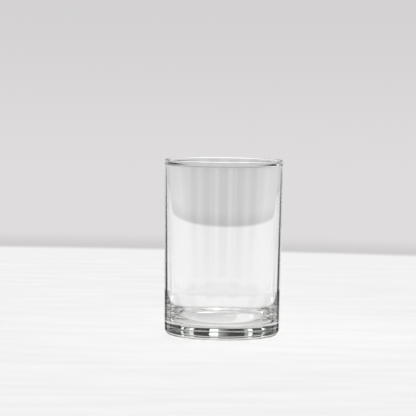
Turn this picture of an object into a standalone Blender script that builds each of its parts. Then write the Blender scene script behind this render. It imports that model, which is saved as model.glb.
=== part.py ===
"""Straight-sided drinking glass with a heavy base, turned from one profile. Metres, +Z up, foot on z = 0."""
import math

import bpy

# Outside, drafted straight from the foot to the rim
HEIGHT = 0.0976
RIM_DIAMETER = 0.0660
FOOT_DIAMETER = 0.0642

# Heel: a wide round that leaves the wall above the table and runs into a small round at the foot
HEEL_HEIGHT = 0.0036
HEEL_RADIUS = 0.0047
FOOT_EDGE = 0.0010

# Lip, melted round by the flame and a little thicker than the wall below it
LIP_THICKNESS = 0.0012
LIP_DEPTH = 0.0032

# Wall, thin under the lip and thickening steadily down to the inner corner
RIM_WALL = 0.00075
LOW_WALL = 0.00145

# Inner floor, slightly dished at its centre, and the tall corner that sweeps it up into the wall
FLOOR_THICKNESS = 0.0070
FLOOR_DISH = 0.0002
CORNER_REACH = 0.0072
CORNER_HEIGHT = 0.0194

# Underside, hollowed so that the glass stands on a narrow flat ring
BEARING_WIDTH = 0.0036
PUSH_UP = 0.0019

# Facets
TURN_STEPS = 72
FLOOR_STEPS = 4
CORNER_STEPS = 12
LIP_BLEND_STEPS = 4
LIP_STEPS = 8
HEEL_STEPS = 5
FOOT_EDGE_STEPS = 3
PUSH_UP_STEPS = 5

GLASS_COLOUR = (0.97, 0.985, 0.98, 1.0)
GLASS_ROUGHNESS = 0.01
GLASS_IOR = 1.52


def clear_scene():
    for item in list(bpy.data.objects):
        bpy.data.objects.remove(item, do_unlink=True)


def new_collection(name):
    collection = bpy.data.collections.new(name)
    bpy.context.scene.collection.children.link(collection)
    return collection


def clear_glass():
    material = bpy.data.materials.new("soda_lime_glass")
    material.use_nodes = True
    shader = material.node_tree.nodes["Principled BSDF"]
    shader.inputs["Base Color"].default_value = GLASS_COLOUR
    shader.inputs["Metallic"].default_value = 0.0
    shader.inputs["Roughness"].default_value = GLASS_ROUGHNESS
    shader.inputs["IOR"].default_value = GLASS_IOR
    shader.inputs["Transmission Weight"].default_value = 1.0
    return material


def shares(steps):
    """Even shares from 0 to 1, both ends included."""
    return [step / steps for step in range(steps + 1)]


def arc(centre, radius, start, end, steps):
    """Points of a circle's arc from one angle to another, in degrees from +X towards +Z."""
    angles = [math.radians(start + (end - start) * share) for share in shares(steps)]
    return [(centre[0] + radius * math.cos(a), centre[1] + radius * math.sin(a)) for a in angles]


def outer_radius(z):
    """Outside of the wall at a height: a straight draft from the foot to the rim."""
    return (FOOT_DIAMETER + (RIM_DIAMETER - FOOT_DIAMETER) * z / HEIGHT) / 2


def inner_wall():
    """The inner wall's straight line: its foot at the top of the corner and its top under the lip."""
    corner_level = FLOOR_THICKNESS + FLOOR_DISH + CORNER_HEIGHT
    lip_level = HEIGHT - LIP_DEPTH
    foot = (outer_radius(corner_level) - LOW_WALL, corner_level)
    top = (outer_radius(lip_level) - RIM_WALL, lip_level)
    return foot, top


def floor_and_corner():
    """Dished floor from the axis outwards, then a quarter of an upright ellipse up to the inner wall."""
    foot = inner_wall()[0]
    edge = foot[0] - CORNER_REACH
    floor = []
    for share in shares(FLOOR_STEPS):
        rise = (1 - math.cos(math.pi * share)) / 2
        floor.append((edge * share, FLOOR_THICKNESS + FLOOR_DISH * rise))
    corner = []
    for share in shares(CORNER_STEPS):
        turn = math.radians(90 * share)
        corner.append((edge + CORNER_REACH * math.sin(turn), foot[1] - CORNER_HEIGHT * math.cos(turn)))
    return floor[:-1] + corner


def lip():
    """The wall swells smoothly into the lip, which is a half round over the top."""
    top = inner_wall()[1]
    lip_radius = LIP_THICKNESS / 2
    crest_centre = (RIM_DIAMETER / 2 - lip_radius, HEIGHT - lip_radius)
    inner_side = crest_centre[0] - lip_radius
    blend = []
    for share in shares(LIP_BLEND_STEPS):
        swell = (1 - math.cos(math.pi * share)) / 2
        blend.append((top[0] + (inner_side - top[0]) * swell, top[1] + (crest_centre[1] - top[1]) * share))
    return blend[:-1] + arc(crest_centre, lip_radius, 180, 0, LIP_STEPS)


def heel_and_foot():
    """Heel under the drafted wall, the foot's small round, the flat ring it stands on, and the hollow underside."""
    lean = math.degrees(math.atan2(RIM_DIAMETER - FOOT_DIAMETER, 2 * HEIGHT))
    heel_centre = (outer_radius(HEEL_HEIGHT) - HEEL_RADIUS, HEEL_HEIGHT)
    inner_radius = HEEL_RADIUS - FOOT_EDGE
    drop = math.asin((HEEL_HEIGHT - FOOT_EDGE) / inner_radius)
    ring_outer = heel_centre[0] + inner_radius * math.cos(drop)
    ring_inner = ring_outer - BEARING_WIDTH
    heel = arc(heel_centre, HEEL_RADIUS, -lean, -math.degrees(drop), HEEL_STEPS)
    foot = arc((ring_outer, FOOT_EDGE), FOOT_EDGE, -math.degrees(drop), -90, FOOT_EDGE_STEPS)
    hollow = []
    for share in shares(PUSH_UP_STEPS):
        hollow.append((ring_inner * (1 - share), PUSH_UP * (1 - (1 - share) ** 2)))
    return heel[:-1] + foot + hollow


def glass_profile():
    """Half section from the floor's centre, up the inside, over the lip and down the outside to the axis."""
    return floor_and_corner() + lip() + heel_and_foot()


def turned(name, profile, material, collection):
    """A body turned about Z from a half section that starts and ends on the axis."""
    mesh = bpy.data.meshes.new(name)
    corners = [(r, 0.0, z) for r, z in profile]
    mesh.from_pydata(corners, [(i, i + 1) for i in range(len(corners) - 1)], [])
    mesh.materials.append(material)
    body = bpy.data.objects.new(name, mesh)
    collection.objects.link(body)
    turn = body.modifiers.new("Turn", "SCREW")
    turn.axis = "Z"
    turn.angle = math.tau
    turn.steps = TURN_STEPS
    turn.render_steps = TURN_STEPS
    turn.use_smooth_shade = True
    turn.use_merge_vertices = True
    turn.merge_threshold = 0.00001
    return body


def main():
    clear_scene()
    pieces = new_collection("rocks_glass")
    turned("glass_body", glass_profile(), clear_glass(), pieces)


main()
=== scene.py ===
"""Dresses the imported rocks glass: the fine turned glass, its soda-lime finish, a studio and the camera."""
import math
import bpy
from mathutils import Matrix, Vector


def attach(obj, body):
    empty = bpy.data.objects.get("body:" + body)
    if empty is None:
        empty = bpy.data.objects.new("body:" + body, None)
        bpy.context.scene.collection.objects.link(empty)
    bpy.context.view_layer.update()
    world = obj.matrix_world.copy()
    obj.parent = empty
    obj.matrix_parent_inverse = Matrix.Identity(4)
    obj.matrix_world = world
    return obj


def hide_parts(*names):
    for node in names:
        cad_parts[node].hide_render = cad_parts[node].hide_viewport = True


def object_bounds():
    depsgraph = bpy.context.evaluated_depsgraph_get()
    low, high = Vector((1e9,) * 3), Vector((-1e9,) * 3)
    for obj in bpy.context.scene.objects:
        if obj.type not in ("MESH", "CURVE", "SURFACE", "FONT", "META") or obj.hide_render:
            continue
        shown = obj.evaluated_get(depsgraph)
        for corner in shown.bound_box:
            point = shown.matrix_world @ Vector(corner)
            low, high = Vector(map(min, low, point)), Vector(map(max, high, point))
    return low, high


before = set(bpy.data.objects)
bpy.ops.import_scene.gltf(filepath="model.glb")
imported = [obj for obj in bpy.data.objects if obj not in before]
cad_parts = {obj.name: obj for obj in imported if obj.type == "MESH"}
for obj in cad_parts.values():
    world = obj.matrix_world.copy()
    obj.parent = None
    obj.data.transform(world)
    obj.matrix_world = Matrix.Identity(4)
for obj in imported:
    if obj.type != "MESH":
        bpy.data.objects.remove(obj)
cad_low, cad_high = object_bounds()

from types import SimpleNamespace

import bpy
from bpy.props import FloatProperty, FloatVectorProperty, IntProperty, PointerProperty
from mathutils import Matrix

bl_info = {
    "name": "Rocks Glass",
    "version": (1, 0, 0),
    "blender": (4, 5, 0),
    "location": "3D View > Sidebar > Rocks Glass",
    "description": "Turns a heavy-based drinking glass and sets it on a pale studio table",
    "category": "Object",
}

GLASS_NODE = "glass_body"
BODY = "root"
MM = 0.001


def linear(hex_colour):
    """An sRGB hex colour as linear RGBA."""
    channels = [int(hex_colour[i:i + 2], 16) / 255 for i in (1, 3, 5)]
    return [c / 12.92 if c <= 0.04045 else ((c + 0.055) / 1.055) ** 2.4 for c in channels] + [1.0]


def length(name, description, default):
    return FloatProperty(name=name, description=description, default=default, min=0.0, unit="LENGTH",
                         precision=5)


def angle(name, description, degrees):
    return FloatProperty(name=name, description=description, default=math.radians(degrees), unit="ROTATION")


def amount(name, description, default):
    return FloatProperty(name=name, description=description, default=default, min=0.0, precision=4)


def paint(name, description, hex_colour):
    return FloatVectorProperty(name=name, description=description, default=linear(hex_colour), size=4,
                               subtype="COLOR", min=0.0, max=1.0)


class GlassSizes(bpy.types.PropertyGroup):
    """Sizes and tint of the turned glass."""

    rim_diameter: length("Rim diameter", "Outside of the lip", cad_high.x - cad_low.x)
    height: length("Height", "Foot to the top of the lip", cad_high.z - cad_low.z)
    foot_diameter: length("Foot diameter", "Outside of the wall, carried down to the table", 64.2 * MM)
    heel_radius: length("Heel radius", "Round that draws the wall in towards the foot", 4.7 * MM)
    heel_height: length("Heel height", "Where the round leaves the wall", 3.6 * MM)
    foot_edge: length("Foot edge", "Small round between heel and foot", 1.0 * MM)
    lip_thickness: length("Lip thickness", "Bead melted round by the flame", 1.2 * MM)
    lip_depth: length("Lip depth", "How far down the bead fades into the wall", 3.2 * MM)
    rim_wall: length("Wall under the lip", "Thinnest glass", 0.75 * MM)
    low_wall: length("Wall above the corner", "Glass where the inner corner starts", 1.45 * MM)
    floor_thickness: length("Floor thickness", "Base at its centre", 7.0 * MM)
    floor_dish: length("Floor dish", "How far the inner floor dips at its centre", 0.2 * MM)
    corner_reach: length("Inner corner reach", "How far the corner runs in from the wall", 7.2 * MM)
    corner_height: length("Inner corner height", "How far the corner runs up from the floor", 19.4 * MM)
    bearing_width: length("Bearing ring", "Width of the flat ring it stands on", 3.6 * MM)
    push_up: length("Push-up", "Hollow of the underside", 1.9 * MM)
    turn_steps: IntProperty(name="Turn steps", description="Facets round the glass", default=192, min=24)
    tint: paint("Tint", "Colour that light takes on in deep glass", "#E6E9E4")


class StudioLook(bpy.types.PropertyGroup):
    """Camera, table and surroundings."""

    lens: FloatProperty(name="Lens", description="Focal length", default=170.83, unit="CAMERA")
    distance: length("Distance", "Camera to the axis of the glass", 1100 * MM)
    eye_height: length("Eye height", "Camera above the table", 142 * MM)
    tilt: angle("Tilt", "Camera looks down", 3.725)
    pan: angle("Pan", "Camera looks left of the glass", 0.445)
    roll: angle("Roll", "Camera leans", 0.75)
    table_radius: length("Table radius", "White table round the glass", 450 * MM)
    table_gap: length("Table gap", "Air under the foot", 0.05 * MM)
    horizon: angle("Horizon", "Where the white ground ends, above level", -4.953)
    lean: amount("Lean", "How much lower the white ground ends to the right", 0.0094)
    sag: angle("Sag", "How much lower the glass sees the white ground end, below zero for higher", -0.075)
    sweep: angle("Sweep", "How far the white ground climbs again further aside", 0.6)
    flag_angle: angle("Flag angle", "Dark flags stand beyond this turn from straight behind the glass", 19)
    patch_width: length("Patch width", "Table that the glass sees, side to side", 70 * MM)
    patch_length: length("Patch length", "Table that the glass sees, front to back", 190 * MM)
    backing: amount("Backing", "Light on the backdrop right behind the glass", 0.885)
    overhead: amount("Overhead", "Light panel over the table as the glass sees it", 0.9)
    lamp: amount("Lamps", "Tall lamps as the glass sees them", 1.6)
    lamp_spread: amount("Lamp spread", "How much further apart the lamps stand at the top", 0.77)
    # Painted contact shadow on the cloth round the foot, as the glass sees it
    contact: amount("Contact shade", "Light on the cloth close round the foot", 0.62)
    veil: amount("Shadow light", "Light that reaches the table by way of the glass", 3.2)
    sky: amount("Soft light", "Strength of the even light", 0.98)
    cloth: paint("Cloth", "White cloth as a whole", "#F5F4F4")
    # Lit crests and shaded hollows of the flat cloth's folds and threads: painted light and shade
    cloth_light: paint("Cloth crests", "Lightest threads and folds", "#F9F8F8")
    cloth_shade: paint("Cloth hollows", "Darkest threads and folds", "#F2F1F1")
    backdrop: paint("Backdrop", "Pale wall behind the table", "#DEDCDD")
    backdrop_foot: paint("Backdrop foot", "Its shade where it meets the table", "#CECCCC")
    flag: paint("Flags", "Dark boards that draw the edges of the glass", "#242326")
    room: paint("Room", "Unlit room over the table", "#101013")


def add_node(tree, kind, settings=None, inputs=None):
    """A node with its settings, its input values and the links that feed it."""
    made = tree.nodes.new(kind)
    for name, value in (settings or {}).items():
        setattr(made, name, value)
    for name, value in (inputs or {}).items():
        if isinstance(value, bpy.types.NodeSocket):
            tree.links.new(value, made.inputs[name])
        else:
            made.inputs[name].default_value = value
    return made


def fill_ramp(ramp, stops):
    """Give a colour ramp its stops, each a position and a colour or a grey level."""
    elements = ramp.color_ramp.elements
    while len(elements) > 1:
        elements.remove(elements[-1])
    for number, (position, colour) in enumerate(stops):
        element = elements[0] if number == 0 else elements.new(position)
        element.position = position
        element.color = colour if isinstance(colour, list) else [colour, colour, colour, 1.0]


def scaled(colour, share):
    return [channel * share for channel in colour[:3]] + [1.0]


def fresh_material(name):
    material = bpy.data.materials.new(name)
    material.use_nodes = True
    material.node_tree.nodes.clear()
    return material


# Flow lines drawn up the hot wall: the width and height of one, and its depth
FLOW_SIZE = (5 * MM, 5 * MM, 40 * MM)
FLOW_DEPTH = 0.003 * MM
# Marks of handling: their size, how much of the noise shows, and their roughness
MARK_SIZE = (9 * MM, 9 * MM, 14 * MM)
MARK_RANGE = (0.55, 0.8)
MARK_ROUGHNESS = 0.01
GLASS_IOR = 1.52
# Light lost per metre of glass, in the tint
GLASS_DENSITY = 16.0


def soda_lime_glass(tint):
    """Drawn soda-lime glass, flame-polished: clear and near colourless, greyer where it is deep, with
    upright flow lines and faint marks of handling that show only where they bend the light a little."""
    material = fresh_material("soda_lime_glass")
    tree = material.node_tree
    place = add_node(tree, "ShaderNodeTexCoord").outputs["Object"]
    drawn = add_node(tree, "ShaderNodeVectorMath", {"operation": "DIVIDE"}, {0: place, 1: FLOW_SIZE})
    flow = add_node(tree, "ShaderNodeTexNoise", inputs={
        "Vector": drawn.outputs[0], "Scale": 1.0, "Detail": 1.0, "Roughness": 0.4})
    ripple = add_node(tree, "ShaderNodeBump", inputs={
        "Strength": 1.0, "Distance": FLOW_DEPTH, "Height": flow.outputs["Fac"]})
    touched = add_node(tree, "ShaderNodeVectorMath", {"operation": "DIVIDE"}, {0: place, 1: MARK_SIZE})
    smudges = add_node(tree, "ShaderNodeTexNoise", inputs={
        "Vector": touched.outputs[0], "Scale": 1.0, "Detail": 3.0})
    marks = add_node(tree, "ShaderNodeMapRange", {"interpolation_type": "SMOOTHSTEP"}, {
        "Value": smudges.outputs["Fac"], "From Min": MARK_RANGE[0], "From Max": MARK_RANGE[1],
        "To Max": MARK_ROUGHNESS})
    shader = add_node(tree, "ShaderNodeBsdfPrincipled", inputs={
        "Base Color": linear("#FFFFFF"),
        "Roughness": marks.outputs[0],
        "IOR": GLASS_IOR,
        "Transmission Weight": 1.0,
        "Normal": ripple.outputs["Normal"],
    })
    depth = add_node(tree, "ShaderNodeVolumeAbsorption", inputs={"Color": tint, "Density": GLASS_DENSITY})
    add_node(tree, "ShaderNodeOutputMaterial", inputs={
        "Surface": shader.outputs["BSDF"], "Volume": depth.outputs["Volume"]})
    return material


# Points along each stretch of the half section
FLOOR_STEPS = 16
CORNER_STEPS = 40
WALL_STEPS = 24
LIP_BLEND_STEPS = 12
LIP_STEPS = 20
OUTSIDE_STEPS = 20
HEEL_STEPS = 16
FOOT_EDGE_STEPS = 6
PUSH_UP_STEPS = 24


def shares(steps):
    """Even shares from 0 to 1, both ends included."""
    return [step / steps for step in range(steps + 1)]


def ease(share):
    """From 0 to 1 along an S-curve that starts and ends level."""
    return share * share * (3 - 2 * share)


def arc(centre, radius, start, end, steps):
    """Points of a circle's arc from one angle to another, in degrees from +X towards +Z."""
    angles = [math.radians(start + (end - start) * share) for share in shares(steps)]
    return [(centre[0] + radius * math.cos(a), centre[1] + radius * math.sin(a)) for a in angles]


def between(start, end, steps):
    """Even points of a straight line, without its ends."""
    return [(start[0] + (end[0] - start[0]) * share, start[1] + (end[1] - start[1]) * share)
            for share in shares(steps)[1:-1]]


def outer_radius(sizes, z):
    """Outside of the wall at a height: a straight draft from the foot to the rim."""
    return (sizes.foot_diameter + (sizes.rim_diameter - sizes.foot_diameter) * z / sizes.height) / 2


def inside(sizes):
    """Dished floor, a quarter of an upright ellipse for the corner, and the wall up to the lip."""
    corner_level = sizes.floor_thickness + sizes.floor_dish + sizes.corner_height
    lip_level = sizes.height - sizes.lip_depth
    edge = outer_radius(sizes, corner_level) - sizes.low_wall - sizes.corner_reach
    points = []
    for share in shares(FLOOR_STEPS)[:-1]:
        points.append((edge * share, sizes.floor_thickness + sizes.floor_dish * ease(share)))
    for share in shares(CORNER_STEPS):
        turn = math.radians(90 * share)
        points.append((edge + sizes.corner_reach * math.sin(turn),
                       corner_level - sizes.corner_height * math.cos(turn)))
    for share in shares(WALL_STEPS)[1:]:
        z = corner_level + (lip_level - corner_level) * share
        wall = sizes.low_wall + (sizes.rim_wall - sizes.low_wall) * share
        points.append((outer_radius(sizes, z) - wall, z))
    return points


def lip(sizes, top):
    """The wall swells from its top into the lip, which is a half round."""
    radius = sizes.lip_thickness / 2
    crest = (sizes.rim_diameter / 2 - radius, sizes.height - radius)
    swell = crest[0] - radius - top[0]
    points = []
    for share in shares(LIP_BLEND_STEPS)[:-1]:
        points.append((top[0] + swell * ease(share), top[1] + (crest[1] - top[1]) * share))
    return points + arc(crest, radius, 180, 0, LIP_STEPS)


def heel(sizes):
    """Round that draws the wall in, and the small round that turns it under to the bearing ring."""
    draft = math.degrees(math.atan2(sizes.rim_diameter - sizes.foot_diameter, 2 * sizes.height))
    centre = (outer_radius(sizes, sizes.heel_height) - sizes.heel_radius, sizes.heel_height)
    inner_radius = sizes.heel_radius - sizes.foot_edge
    drop = math.asin((sizes.heel_height - sizes.foot_edge) / inner_radius)
    ring = centre[0] + inner_radius * math.cos(drop)
    under = arc((ring, sizes.foot_edge), sizes.foot_edge, -math.degrees(drop), -90, FOOT_EDGE_STEPS)
    return arc(centre, sizes.heel_radius, -draft, -math.degrees(drop), HEEL_STEPS) + under[1:]


def underside(sizes, ring):
    """Hollow from the inner edge of the bearing ring to the axis."""
    start = ring - sizes.bearing_width
    return [(start * (1 - share), sizes.push_up * (1 - (1 - share) ** 2)) for share in shares(PUSH_UP_STEPS)]


def glass_profile(sizes):
    """Half section from the floor's centre, up the inside, over the lip and down the outside to the axis."""
    inner = inside(sizes)
    rim = lip(sizes, inner[-1])
    foot = heel(sizes)
    wall = between(rim[-1], foot[0], OUTSIDE_STEPS)
    return inner[:-1] + rim + wall + foot + underside(sizes, foot[-1][0])


# Points of the spun mesh that are closer than this are one point
MERGE_DISTANCE = 0.005 * MM


class OBJECT_OT_turn_glass(bpy.types.Operator):
    """Draw the half section of the glass and spin it about its axis"""

    bl_idname = "object.turn_glass"
    bl_label = "Turn Glass"

    def execute(self, context):
        sizes = context.scene.glass_sizes
        profile = glass_profile(sizes)
        first_r, first_z = profile[0]
        bpy.ops.object.select_all(action="DESELECT")
        bpy.ops.mesh.primitive_plane_add(size=MM, location=(0, 0, 0))
        glass = context.object
        glass.name = "rocks_glass"
        bpy.ops.object.mode_set(mode="EDIT")
        bpy.ops.mesh.merge(type="CENTER")
        bpy.ops.transform.translate(value=(first_r, 0, first_z))
        for (r, z), (next_r, next_z) in zip(profile, profile[1:]):
            bpy.ops.mesh.extrude_region_move(TRANSFORM_OT_translate={"value": (next_r - r, 0, next_z - z)})
        bpy.ops.mesh.select_all(action="SELECT")
        bpy.ops.mesh.spin(steps=sizes.turn_steps, angle=math.tau, center=(0, 0, 0), axis=(0, 0, 1))
        bpy.ops.mesh.select_all(action="SELECT")
        bpy.ops.mesh.remove_doubles(threshold=MERGE_DISTANCE)
        bpy.ops.mesh.normals_make_consistent(inside=False)
        bpy.ops.object.mode_set(mode="OBJECT")
        bpy.ops.object.shade_smooth()
        glass.data.materials.clear()
        glass.data.materials.append(soda_lime_glass(sizes.tint))
        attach(glass, BODY)
        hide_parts(GLASS_NODE)
        return {"FINISHED"}


def ray_kinds(tree):
    """Rays from the lens, rays that glass has bent or thrown back, and those of them that the lens sees."""
    path = add_node(tree, "ShaderNodeLightPath")
    no_cloth_yet = add_node(tree, "ShaderNodeMath", {"operation": "LESS_THAN"}, {
        0: path.outputs["Diffuse Depth"], 1: 1.0})
    by_glass = add_node(tree, "ShaderNodeMath", {"operation": "MULTIPLY"}, {
        0: path.outputs["Is Glossy Ray"], 1: no_cloth_yet.outputs[0]})
    return SimpleNamespace(lens=path.outputs["Is Camera Ray"], glass=path.outputs["Is Glossy Ray"],
                           by_glass=by_glass.outputs[0])


# Painted light and shade of folds across the cloth, and of its threads, drawn coarser than real ones, which
# are too fine to show
FOLD_SIZE = (70 * MM, 16 * MM, 16 * MM)
THREAD_SIZE = (1.6 * MM, 1.6 * MM, 1.6 * MM)
THREAD_SHARE = 0.35
WEAVE_RANGE = (0.45, 0.9)
# Painted light on the cloth that the glass sees under and round its foot: distance from its axis, and share
# of the soft light that the glowing patch stands in for. Painted contact shadow fills the ring under the heel
RING_REACH = 50 * MM
INNER_RINGS = [(15 * MM, 0.85), (18 * MM, 0.91), (23 * MM, 0.91), (25 * MM, 0.74)]
CONTACT_RING = (29.5 * MM, 33 * MM)
OUTER_RINGS = [(35 * MM, 0.82), (38 * MM, 0.95)]


def cloth_colour(tree, look, spot):
    """Faint folds and threads, as painted light and shade of the cloth's own white."""
    folded = add_node(tree, "ShaderNodeVectorMath", {"operation": "DIVIDE"}, {0: spot, 1: FOLD_SIZE})
    folds = add_node(tree, "ShaderNodeTexNoise", inputs={
        "Vector": folded.outputs[0], "Scale": 1.0, "Detail": 2.0})
    woven = add_node(tree, "ShaderNodeVectorMath", {"operation": "DIVIDE"}, {0: spot, 1: THREAD_SIZE})
    threads = add_node(tree, "ShaderNodeTexNoise", inputs={
        "Vector": woven.outputs[0], "Scale": 1.0, "Detail": 1.0})
    uneven = add_node(tree, "ShaderNodeMath", {"operation": "MULTIPLY_ADD"}, {
        0: threads.outputs["Fac"], 1: THREAD_SHARE, 2: folds.outputs["Fac"]})
    crests = add_node(tree, "ShaderNodeMapRange", inputs={
        "Value": uneven.outputs[0], "From Min": WEAVE_RANGE[0], "From Max": WEAVE_RANGE[1]})
    tone = add_node(tree, "ShaderNodeMix", {"data_type": "RGBA"}, {
        0: crests.outputs[0], 6: look.cloth_shade, 7: look.cloth_light})
    return tone.outputs[2]


def cloth_by_glass(tree, look, spot):
    """What the glass sees of the cloth: a patch that glows with painted light, with painted shade in rings
    round the foot, then the studio.
    """
    place = add_node(tree, "ShaderNodeSeparateXYZ", inputs={0: spot})
    aside = add_node(tree, "ShaderNodeMath", {"operation": "ABSOLUTE"}, {0: place.outputs["X"]})
    along = add_node(tree, "ShaderNodeMath", {"operation": "ABSOLUTE"}, {0: place.outputs["Y"]})
    wide = add_node(tree, "ShaderNodeMath", {"operation": "GREATER_THAN"}, {
        0: aside.outputs[0], 1: look.patch_width / 2})
    deep = add_node(tree, "ShaderNodeMath", {"operation": "GREATER_THAN"}, {
        0: along.outputs[0], 1: look.patch_length / 2})
    beyond = add_node(tree, "ShaderNodeMath", {"operation": "MAXIMUM"}, {
        0: wide.outputs[0], 1: deep.outputs[0]})
    radius = add_node(tree, "ShaderNodeVectorMath", {"operation": "LENGTH"}, {0: spot})
    reach = add_node(tree, "ShaderNodeMapRange", inputs={
        "Value": radius.outputs["Value"], "From Max": RING_REACH})
    rings = [(distance, look.sky * share) for distance, share in INNER_RINGS]
    rings += [(distance, look.contact) for distance in CONTACT_RING]
    rings += [(distance, look.sky * share) for distance, share in OUTER_RINGS]
    shade = add_node(tree, "ShaderNodeValToRGB", inputs={"Fac": reach.outputs[0]})
    fill_ramp(shade, [(distance / RING_REACH, light) for distance, light in rings])
    # The patch is an emission, lit by no lamp: painted light, with painted shade in rings
    patch = add_node(tree, "ShaderNodeEmission", inputs={"Color": shade.outputs["Color"]})
    clear = add_node(tree, "ShaderNodeBsdfTransparent")
    seen = add_node(tree, "ShaderNodeMixShader", inputs={
        0: beyond.outputs[0], 1: patch.outputs[0], 2: clear.outputs[0]})
    return seen.outputs[0]


def white_cloth(look):
    """Woven white cotton, laid flat: matt white with painted shade of faint folds to the lens, a patch
    glowing with painted light to the glass.
    """
    material = fresh_material("white_cloth")
    tree = material.node_tree
    spot = add_node(tree, "ShaderNodeTexCoord").outputs["Object"]
    cloth = add_node(tree, "ShaderNodeBsdfDiffuse", inputs={"Color": cloth_colour(tree, look, spot)})
    shown = add_node(tree, "ShaderNodeMixShader", inputs={
        0: ray_kinds(tree).by_glass, 1: cloth.outputs[0], 2: cloth_by_glass(tree, look, spot)})
    add_node(tree, "ShaderNodeOutputMaterial", inputs={"Surface": shown.outputs[0]})
    return material


def ray_aim(tree):
    """Where a ray looks: turn from straight behind the glass, lift above level, and that lift from 0 to 1."""
    direction = add_node(tree, "ShaderNodeSeparateXYZ", inputs={
        0: add_node(tree, "ShaderNodeTexCoord").outputs["Generated"]})
    turn = add_node(tree, "ShaderNodeMath", {"operation": "ARCTAN2"}, {
        0: direction.outputs["X"], 1: direction.outputs["Y"]})
    aside = add_node(tree, "ShaderNodeMath", {"operation": "ABSOLUTE"}, {0: turn.outputs[0]})
    lift = add_node(tree, "ShaderNodeMath", {"operation": "ARCSINE"}, {0: direction.outputs["Z"]})
    height = add_node(tree, "ShaderNodeMapRange", inputs={
        "Value": lift.outputs[0], "From Min": -math.pi / 2, "From Max": math.pi / 2})
    return SimpleNamespace(right=direction.outputs["X"], turn=turn.outputs[0], aside=aside.outputs[0],
                           lift=lift.outputs[0], height=height.outputs[0])


def span(start, end):
    """Two angles in degrees, as radians."""
    return math.radians(start), math.radians(end)


def level(degrees):
    """Place of a lift on a ramp that runs from straight down to straight up."""
    return degrees / 180 + 0.5


# Ground and backdrop: the turns and lifts over which they change, and shares of light
SWEEP_TURN = span(5.2, 7.2)
HORIZON_BLUR = math.radians(0.06)
BACKDROP_FOOT_LIFT = math.radians(0.5)
BACKING_TURN = span(2.2, 3.0)
FALLOFF_LIFT = span(-3, 2.6)
FALLOFF = 0.9
NEAR_GROUND_LIFT = span(-15, -20)
FAR_GROUND = 0.92
NEAR_GROUND = 1.3
CENTRE_TURN = span(0.5, 4)
CENTRE_GROUND = 0.95


def backdrop_view(tree, look, aim, rays, rise):
    """Pale backdrop with a darker foot, which falls off upwards and is dimmer right behind the glass."""
    foot = add_node(tree, "ShaderNodeMapRange", {"interpolation_type": "SMOOTHSTEP"}, {
        "Value": rise, "From Min": look.horizon, "From Max": look.horizon + BACKDROP_FOOT_LIFT})
    backdrop = add_node(tree, "ShaderNodeMix", {"data_type": "RGBA"}, {
        0: foot.outputs[0], 6: look.backdrop_foot, 7: look.backdrop})
    backing = add_node(tree, "ShaderNodeMapRange", {"interpolation_type": "SMOOTHSTEP"}, {
        "Value": aim.aside, "From Min": BACKING_TURN[0], "From Max": BACKING_TURN[1],
        "To Min": look.backing, "To Max": 1.0})
    falloff = add_node(tree, "ShaderNodeMapRange", {"interpolation_type": "SMOOTHSTEP"}, {
        "Value": aim.lift, "From Min": FALLOFF_LIFT[0], "From Max": FALLOFF_LIFT[1],
        "To Min": 1.0, "To Max": FALLOFF})
    light = add_node(tree, "ShaderNodeMix", {"data_type": "FLOAT"}, {
        0: rays.glass, 2: falloff.outputs[0], 3: backing.outputs[0]})
    lit = add_node(tree, "ShaderNodeVectorMath", {"operation": "SCALE"}, {
        0: backdrop.outputs[2], "Scale": light.outputs[0]})
    return lit.outputs[0]


def ground_view(tree, look, aim, rays):
    """White ground past the table: the lens sees it even, the glass sees it brighter close by."""
    depth = add_node(tree, "ShaderNodeMapRange", {"interpolation_type": "SMOOTHSTEP"}, {
        "Value": aim.lift, "From Min": NEAR_GROUND_LIFT[0], "From Max": NEAR_GROUND_LIFT[1],
        "To Min": look.sky * FAR_GROUND, "To Max": look.sky * NEAR_GROUND})
    centre = add_node(tree, "ShaderNodeMapRange", {"interpolation_type": "SMOOTHSTEP"}, {
        "Value": aim.aside, "From Min": CENTRE_TURN[0], "From Max": CENTRE_TURN[1],
        "To Min": CENTRE_GROUND, "To Max": 1.0})
    by_glass = add_node(tree, "ShaderNodeMath", {"operation": "MULTIPLY"}, {
        0: depth.outputs[0], 1: centre.outputs[0]})
    ground = add_node(tree, "ShaderNodeMix", {"data_type": "RGBA"}, {
        0: rays.glass, 6: scaled(look.cloth, look.sky), 7: by_glass.outputs[0]})
    return ground.outputs[2]


def plain_view(tree, look, aim, rays):
    """Ground, then backdrop. The line between them leans, and the glass sees it a little higher."""
    sag = add_node(tree, "ShaderNodeMapRange", {"interpolation_type": "SMOOTHSTEP"}, {
        "Value": aim.aside, "From Min": SWEEP_TURN[0], "From Max": SWEEP_TURN[1],
        "To Min": look.sag, "To Max": look.sag - look.sweep})
    leaned = add_node(tree, "ShaderNodeMath", {"operation": "MULTIPLY_ADD"}, {
        0: aim.right, 1: look.lean, 2: aim.lift})
    rise = add_node(tree, "ShaderNodeMath", {"operation": "MULTIPLY_ADD"}, {
        0: rays.glass, 1: sag.outputs[0], 2: leaned.outputs[0]})
    edge = add_node(tree, "ShaderNodeMapRange", {"interpolation_type": "SMOOTHSTEP"}, {
        "Value": rise.outputs[0], "From Min": look.horizon - HORIZON_BLUR,
        "From Max": look.horizon + HORIZON_BLUR})
    plain = add_node(tree, "ShaderNodeMix", {"data_type": "RGBA"}, {
        0: edge.outputs[0],
        6: ground_view(tree, look, aim, rays),
        7: backdrop_view(tree, look, aim, rays, rise.outputs[0]),
    })
    return plain.outputs[2]


# Light and dark panels that the glass sees round it above the table, the same on both sides: degrees from
# straight behind it, and share of full white
PANELS = [(34, 0.7), (45, 0.6), (70, 0.65), (95, 0.9), (108, 0.9), (113, 0.4), (121, 0.3), (130, 0.8),
          (133, 0.85), (140, 0.35), (150, 0.05), (156, 0.6), (160, 0.3), (163, 0.8), (169, 0.9), (173, 0.1)]
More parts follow.
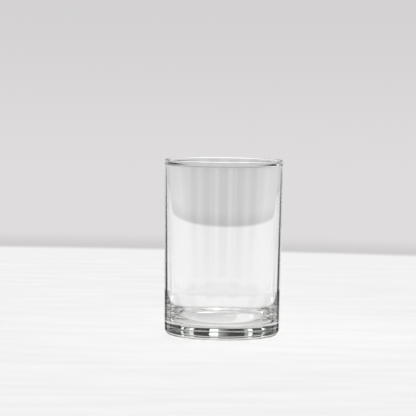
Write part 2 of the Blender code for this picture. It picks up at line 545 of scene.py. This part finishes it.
# They stand beyond a turn, rise from the table's edge, and fade into the room, lower down further round
SIDE_TURN = math.radians(34)
PANEL_FOOT_LIFT = span(-5.8, -5.0)
PANEL_FADE_LIFT = math.radians(-3)
PANEL_TOP_TURN = span(50, 60)
PANEL_TOP_LIFT = span(3, -1)
SIDE_GROUND = 1.08


def side_view(tree, look, aim):
    """White ground to both sides and in front of the glass, then the panels, then the dark room."""
    half_turn = add_node(tree, "ShaderNodeMapRange", inputs={"Value": aim.aside, "From Max": math.pi})
    panels = add_node(tree, "ShaderNodeValToRGB", inputs={"Fac": half_turn.outputs[0]})
    fill_ramp(panels, [(degrees / 180, share) for degrees, share in PANELS])
    top = add_node(tree, "ShaderNodeMapRange", {"interpolation_type": "SMOOTHSTEP"}, {
        "Value": aim.aside, "From Min": PANEL_TOP_TURN[0], "From Max": PANEL_TOP_TURN[1],
        "To Min": PANEL_TOP_LIFT[0], "To Max": PANEL_TOP_LIFT[1]})
    fade = add_node(tree, "ShaderNodeMapRange", {"interpolation_type": "SMOOTHSTEP"}, {
        "Value": aim.lift, "From Min": PANEL_FADE_LIFT, "From Max": top.outputs[0]})
    standing = add_node(tree, "ShaderNodeMix", {"data_type": "RGBA"}, {
        0: fade.outputs[0], 6: panels.outputs["Color"], 7: look.room})
    above_table = add_node(tree, "ShaderNodeMapRange", {"interpolation_type": "SMOOTHSTEP"}, {
        "Value": aim.lift, "From Min": PANEL_FOOT_LIFT[0], "From Max": PANEL_FOOT_LIFT[1]})
    side = add_node(tree, "ShaderNodeMix", {"data_type": "RGBA"}, {
        0: above_table.outputs[0], 6: scaled(look.cloth, look.sky * SIDE_GROUND), 7: standing.outputs[2]})
    return side.outputs[2]


# Dark flags behind the glass: the blur of their inner edges, and the lifts where they fade out
FLAG_BLUR = math.radians(1.5)
FLAG_TOP_LIFT = span(-5.0, -1.2)
FLAG_FOOT_LIFT = span(-60, -50)
# Low flags between the eighths of a full turn, and narrow slats above them: turns from the nearest eighth
EIGHTH_TURN = math.radians(45)
LOW_FLAG_TURN = span(10.5, 13.5)
LOW_FLAG_LIFT = span(-9, -11)
SLAT_TURN = span(8, 9.5)
SLAT_END_TURN = math.radians(58)
SLAT_TOP_LIFT = span(-5.4, -6.2)
SLAT_FOOT_LIFT = span(-9.4, -8.6)


def edge_flags(tree, look, aim):
    """Flags to both sides behind the glass, which draw the dark lines down its edges."""
    inner = add_node(tree, "ShaderNodeMapRange", {"interpolation_type": "SMOOTHSTEP"}, {
        "Value": aim.aside, "From Min": look.flag_angle - FLAG_BLUR,
        "From Max": look.flag_angle + FLAG_BLUR})
    behind = add_node(tree, "ShaderNodeMath", {"operation": "LESS_THAN"}, {0: aim.aside, 1: SIDE_TURN})
    flags = add_node(tree, "ShaderNodeMath", {"operation": "MULTIPLY"}, {
        0: inner.outputs[0], 1: behind.outputs[0]})
    return flags.outputs[0]


def low_flags(tree, nearest, aim):
    """Flags low down all the way round, which the heavy base gathers into dark blocks."""
    apart = add_node(tree, "ShaderNodeMapRange", {"interpolation_type": "SMOOTHSTEP"}, {
        "Value": nearest, "From Min": LOW_FLAG_TURN[0], "From Max": LOW_FLAG_TURN[1]})
    low = add_node(tree, "ShaderNodeMapRange", {"interpolation_type": "SMOOTHSTEP"}, {
        "Value": aim.lift, "From Min": LOW_FLAG_LIFT[0], "From Max": LOW_FLAG_LIFT[1]})
    flags = add_node(tree, "ShaderNodeMath", {"operation": "MULTIPLY"}, {
        0: apart.outputs[0], 1: low.outputs[0]})
    return flags.outputs[0]


def side_slats(tree, nearest, aim):
    """Narrow slats to both sides, which darken the tall corner over the base."""
    apart = add_node(tree, "ShaderNodeMapRange", {"interpolation_type": "SMOOTHSTEP"}, {
        "Value": nearest, "From Min": SLAT_TURN[0], "From Max": SLAT_TURN[1]})
    past_flags = add_node(tree, "ShaderNodeMath", {"operation": "GREATER_THAN"}, {
        0: aim.aside, 1: SIDE_TURN})
    not_far = add_node(tree, "ShaderNodeMath", {"operation": "LESS_THAN"}, {0: aim.aside, 1: SLAT_END_TURN})
    under_top = add_node(tree, "ShaderNodeMapRange", {"interpolation_type": "SMOOTHSTEP"}, {
        "Value": aim.lift, "From Min": SLAT_TOP_LIFT[0], "From Max": SLAT_TOP_LIFT[1]})
    over_foot = add_node(tree, "ShaderNodeMapRange", {"interpolation_type": "SMOOTHSTEP"}, {
        "Value": aim.lift, "From Min": SLAT_FOOT_LIFT[0], "From Max": SLAT_FOOT_LIFT[1]})
    slats = apart
    for limit in (past_flags, not_far, under_top, over_foot):
        slats = add_node(tree, "ShaderNodeMath", {"operation": "MULTIPLY"}, {
            0: slats.outputs[0], 1: limit.outputs[0]})
    return slats.outputs[0]


def flagged(tree, look, aim, view):
    """A view with the dark flags and slats in front of it."""
    nearest = add_node(tree, "ShaderNodeMath", {"operation": "PINGPONG"}, {0: aim.turn, 1: EIGHTH_TURN / 2})
    lower = add_node(tree, "ShaderNodeMath", {"operation": "MAXIMUM"}, {
        0: low_flags(tree, nearest.outputs[0], aim), 1: side_slats(tree, nearest.outputs[0], aim)})
    wanted = add_node(tree, "ShaderNodeMath", {"operation": "MAXIMUM"}, {
        0: edge_flags(tree, look, aim), 1: lower.outputs[0]})
    under_top = add_node(tree, "ShaderNodeMapRange", inputs={
        "Value": aim.lift, "From Min": FLAG_TOP_LIFT[0], "From Max": FLAG_TOP_LIFT[1],
        "To Min": 1.0, "To Max": 0.0})
    over_foot = add_node(tree, "ShaderNodeMapRange", {"interpolation_type": "SMOOTHSTEP"}, {
        "Value": aim.lift, "From Min": FLAG_FOOT_LIFT[0], "From Max": FLAG_FOOT_LIFT[1]})
    strength = add_node(tree, "ShaderNodeMath", {"operation": "MULTIPLY"}, {
        0: under_top.outputs[0], 1: over_foot.outputs[0]})
    share = add_node(tree, "ShaderNodeMath", {"operation": "MULTIPLY"}, {
        0: wanted.outputs[0], 1: strength.outputs[0]})
    shown = add_node(tree, "ShaderNodeMix", {"data_type": "RGBA"}, {
        0: share.outputs[0], 6: view, 7: look.flag})
    return shown.outputs[2]


# Dark room up to a lift, then the light panel overhead: degrees above level, and share of its light
ROOM_TOP = 25
OVERHEAD = [(28, 0.5), (39, 0.6), (43, 1.0)]
# In front of the glass it has dark stripes: half the turn from one to the next, edges, and shares of light
FRONT_TURN = span(84, 96)
STRIPE_TURN = math.radians(15)
STRIPE_EDGE = span(5, 7)
STRIPE_LIGHT = (0.05, 0.9)


def ceiling(tree, look, aim):
    """Dark room with a light panel overhead, striped in front of the glass."""
    panel = add_node(tree, "ShaderNodeValToRGB", inputs={"Fac": aim.height})
    lit = [(level(degrees), look.overhead * share) for degrees, share in OVERHEAD]
    fill_ramp(panel, [(level(ROOM_TOP), list(look.room))] + lit)
    nearest = add_node(tree, "ShaderNodeMath", {"operation": "PINGPONG"}, {0: aim.turn, 1: STRIPE_TURN})
    stripes = add_node(tree, "ShaderNodeMapRange", {"interpolation_type": "SMOOTHSTEP"}, {
        "Value": nearest.outputs[0], "From Min": STRIPE_EDGE[0], "From Max": STRIPE_EDGE[1],
        "To Min": STRIPE_LIGHT[0], "To Max": STRIPE_LIGHT[1]})
    in_front = add_node(tree, "ShaderNodeMapRange", {"interpolation_type": "SMOOTHSTEP"}, {
        "Value": aim.aside, "From Min": FRONT_TURN[0], "From Max": FRONT_TURN[1]})
    light = add_node(tree, "ShaderNodeMix", {"data_type": "FLOAT"}, {
        0: in_front.outputs[0], 2: 1.0, 3: stripes.outputs[0]})
    striped = add_node(tree, "ShaderNodeVectorMath", {"operation": "SCALE"}, {
        0: panel.outputs["Color"], "Scale": light.outputs[0]})
    return striped.outputs[0]


# Tall lamps behind the table that the heavy base gathers: degrees, and share of full lamp light
LAMPS = [(-39.8, 0.0), (-39.4, 0.3), (-36.7, 0.3), (-36.4, 1.0), (-33.6, 1.0), (-33.2, 0.0),
         (-22.9, 0.0), (-22.5, 1.0), (-19.3, 1.0), (-18.9, 0.3), (-16.2, 0.3), (-15.6, 0.0),
         (-5.0, 0.0), (2.0, 0.3), (2.4, 1.0), (7.8, 1.0), (8.2, 0.0),
         (20.0, 0.0), (20.4, 0.8), (24.0, 0.8), (24.4, 0.3), (27.8, 0.3), (28.4, 0.0),
         (30.4, 0.0), (30.8, 1.0), (33.0, 1.0), (33.4, 0.0)]
# They reach up to a gap, and stand again overhead: degrees above level, and share of full lamp light
LAMP_LIFTS = [(7.5, 0.0), (8.5, 1.0), (28, 1.0), (32, 0.0), (50, 0.0), (56, 1.0), (78, 1.0), (84, 0.0)]
# Half the turn that the row of lamps fills, and the lift at which they stand at their listed turns
LAMP_ROW = 45
LAMP_LEVEL = math.radians(10)


def tall_lamps(tree, look, aim):
    """Row of lamps that stand further apart towards their tops."""
    spread = add_node(tree, "ShaderNodeMath", {"operation": "MULTIPLY_ADD"}, {
        0: aim.lift, 1: look.lamp_spread, 2: 1 - look.lamp_spread * LAMP_LEVEL})
    upright = add_node(tree, "ShaderNodeMath", {"operation": "DIVIDE"}, {0: aim.turn, 1: spread.outputs[0]})
    row = add_node(tree, "ShaderNodeMapRange", inputs={
        "Value": upright.outputs[0], "From Min": math.radians(-LAMP_ROW),
        "From Max": math.radians(LAMP_ROW)})
    lamps = add_node(tree, "ShaderNodeValToRGB", inputs={"Fac": row.outputs[0]})
    fill_ramp(lamps, [(degrees / (2 * LAMP_ROW) + 0.5, share * look.lamp) for degrees, share in LAMPS])
    reach = add_node(tree, "ShaderNodeValToRGB", inputs={"Fac": aim.height})
    fill_ramp(reach, [(level(degrees), share) for degrees, share in LAMP_LIFTS])
    lit = add_node(tree, "ShaderNodeVectorMath", {"operation": "SCALE"}, {
        0: lamps.outputs["Color"], "Scale": reach.outputs["Color"]})
    return lit.outputs[0]


# Lifts over which the panels and flags give way to the room above them
WALL_LIFT = span(4.4, 6.4)
# Light that reaches the table by way of the glass is stronger from the left: where it changes, and share
VEIL_SIDE = (-0.2, 0.5)
VEIL_LEFT = 1.3


def glass_view(tree, look, aim, plain):
    """The whole studio as the glass sees it."""
    sideways = add_node(tree, "ShaderNodeMath", {"operation": "GREATER_THAN"}, {0: aim.aside, 1: SIDE_TURN})
    around = add_node(tree, "ShaderNodeMix", {"data_type": "RGBA"}, {
        0: sideways.outputs[0], 6: plain, 7: side_view(tree, look, aim)})
    room = add_node(tree, "ShaderNodeMix", {"data_type": "RGBA", "blend_type": "ADD"}, {
        0: 1.0, 6: ceiling(tree, look, aim), 7: tall_lamps(tree, look, aim)})
    above = add_node(tree, "ShaderNodeMapRange", {"interpolation_type": "SMOOTHSTEP"}, {
        "Value": aim.lift, "From Min": WALL_LIFT[0], "From Max": WALL_LIFT[1]})
    studio = add_node(tree, "ShaderNodeMix", {"data_type": "RGBA"}, {
        0: above.outputs[0], 6: flagged(tree, look, aim, around.outputs[2]), 7: room.outputs[2]})
    return studio.outputs[2]


def table_light(tree, look, aim, rays):
    """Even light on the table, stronger by way of the glass, so that its shadow stays soft and pale."""
    veil = add_node(tree, "ShaderNodeMapRange", inputs={
        "Value": aim.right, "From Min": VEIL_SIDE[0], "From Max": VEIL_SIDE[1],
        "To Min": look.sky * look.veil * VEIL_LEFT, "To Max": look.sky * look.veil})
    light = add_node(tree, "ShaderNodeMix", {"data_type": "RGBA"}, {
        0: rays.glass, 6: [look.sky] * 3 + [1.0], 7: veil.outputs[0]})
    return light.outputs[2]


def studio_world(look):
    """The lens sees the plain view, the glass the whole studio, and the table is lit evenly."""
    world = bpy.data.worlds.new("studio")
    world.use_nodes = True
    tree = world.node_tree
    tree.nodes.clear()
    aim = ray_aim(tree)
    rays = ray_kinds(tree)
    plain = plain_view(tree, look, aim, rays)
    seen = add_node(tree, "ShaderNodeMix", {"data_type": "RGBA"}, {
        0: rays.lens, 6: glass_view(tree, look, aim, plain), 7: plain})
    shown = add_node(tree, "ShaderNodeMath", {"operation": "MAXIMUM"}, {0: rays.by_glass, 1: rays.lens})
    light = add_node(tree, "ShaderNodeMix", {"data_type": "RGBA"}, {
        0: shown.outputs[0], 6: table_light(tree, look, aim, rays), 7: seen.outputs[2]})
    background = add_node(tree, "ShaderNodeBackground", inputs={"Color": light.outputs[2]})
    add_node(tree, "ShaderNodeOutputWorld", inputs={"Surface": background.outputs[0]})
    return world


TABLE_CORNERS = 96
SENSOR_WIDTH_MM = 36
# Light crosses the glass many times before it leaves the heavy base
BOUNCES = 48


class SCENE_OT_set_studio(bpy.types.Operator):
    """Lay the table, light the studio and place the camera"""

    bl_idname = "scene.set_studio"
    bl_label = "Set Studio"

    def execute(self, context):
        look = context.scene.studio_look
        bpy.ops.object.select_all(action="DESELECT")
        bpy.ops.mesh.primitive_circle_add(vertices=TABLE_CORNERS, radius=look.table_radius, fill_type="NGON",
                                          location=(0, 0, -look.table_gap))
        table = context.object
        table.name = "table"
        bpy.ops.object.transform_apply(location=True, rotation=True, scale=True)
        table.data.materials.append(white_cloth(look))
        context.scene.world = studio_world(look)
        bpy.ops.object.camera_add(location=(0, -look.distance, look.eye_height))
        camera = context.object
        turn = Matrix.Rotation(look.pan, 4, "Z") @ Matrix.Rotation(math.pi / 2 - look.tilt, 4, "X")
        camera.rotation_euler = (turn @ Matrix.Rotation(look.roll, 4, "Z")).to_euler()
        camera.data.lens = look.lens
        camera.data.sensor_width = SENSOR_WIDTH_MM
        context.scene.camera = camera
        context.scene.view_settings.view_transform = "Standard"
        cycles = context.scene.cycles
        cycles.max_bounces = BOUNCES
        cycles.glossy_bounces = BOUNCES
        cycles.transmission_bounces = BOUNCES
        return {"FINISHED"}


class VIEW3D_PT_rocks_glass(bpy.types.Panel):
    """The glass and its studio"""

    bl_label = "Rocks Glass"
    bl_space_type = "VIEW_3D"
    bl_region_type = "UI"
    bl_category = "Rocks Glass"

    def draw(self, context):
        layout = self.layout
        for group in (context.scene.glass_sizes, context.scene.studio_look):
            column = layout.column(align=True)
            for name in group.bl_rna.properties.keys():
                if name not in ("rna_type", "name"):
                    column.prop(group, name)
        layout.operator(OBJECT_OT_turn_glass.bl_idname)
        layout.operator(SCENE_OT_set_studio.bl_idname)


CLASSES = (GlassSizes, StudioLook, OBJECT_OT_turn_glass, SCENE_OT_set_studio, VIEW3D_PT_rocks_glass)


def register():
    for item in CLASSES:
        bpy.utils.register_class(item)
    bpy.types.Scene.glass_sizes = PointerProperty(type=GlassSizes)
    bpy.types.Scene.studio_look = PointerProperty(type=StudioLook)


def unregister():
    del bpy.types.Scene.studio_look
    del bpy.types.Scene.glass_sizes
    for item in reversed(CLASSES):
        bpy.utils.unregister_class(item)


def main():
    register()
    bpy.ops.object.turn_glass()
    bpy.ops.scene.set_studio()


if __name__ == "__main__":
    main()
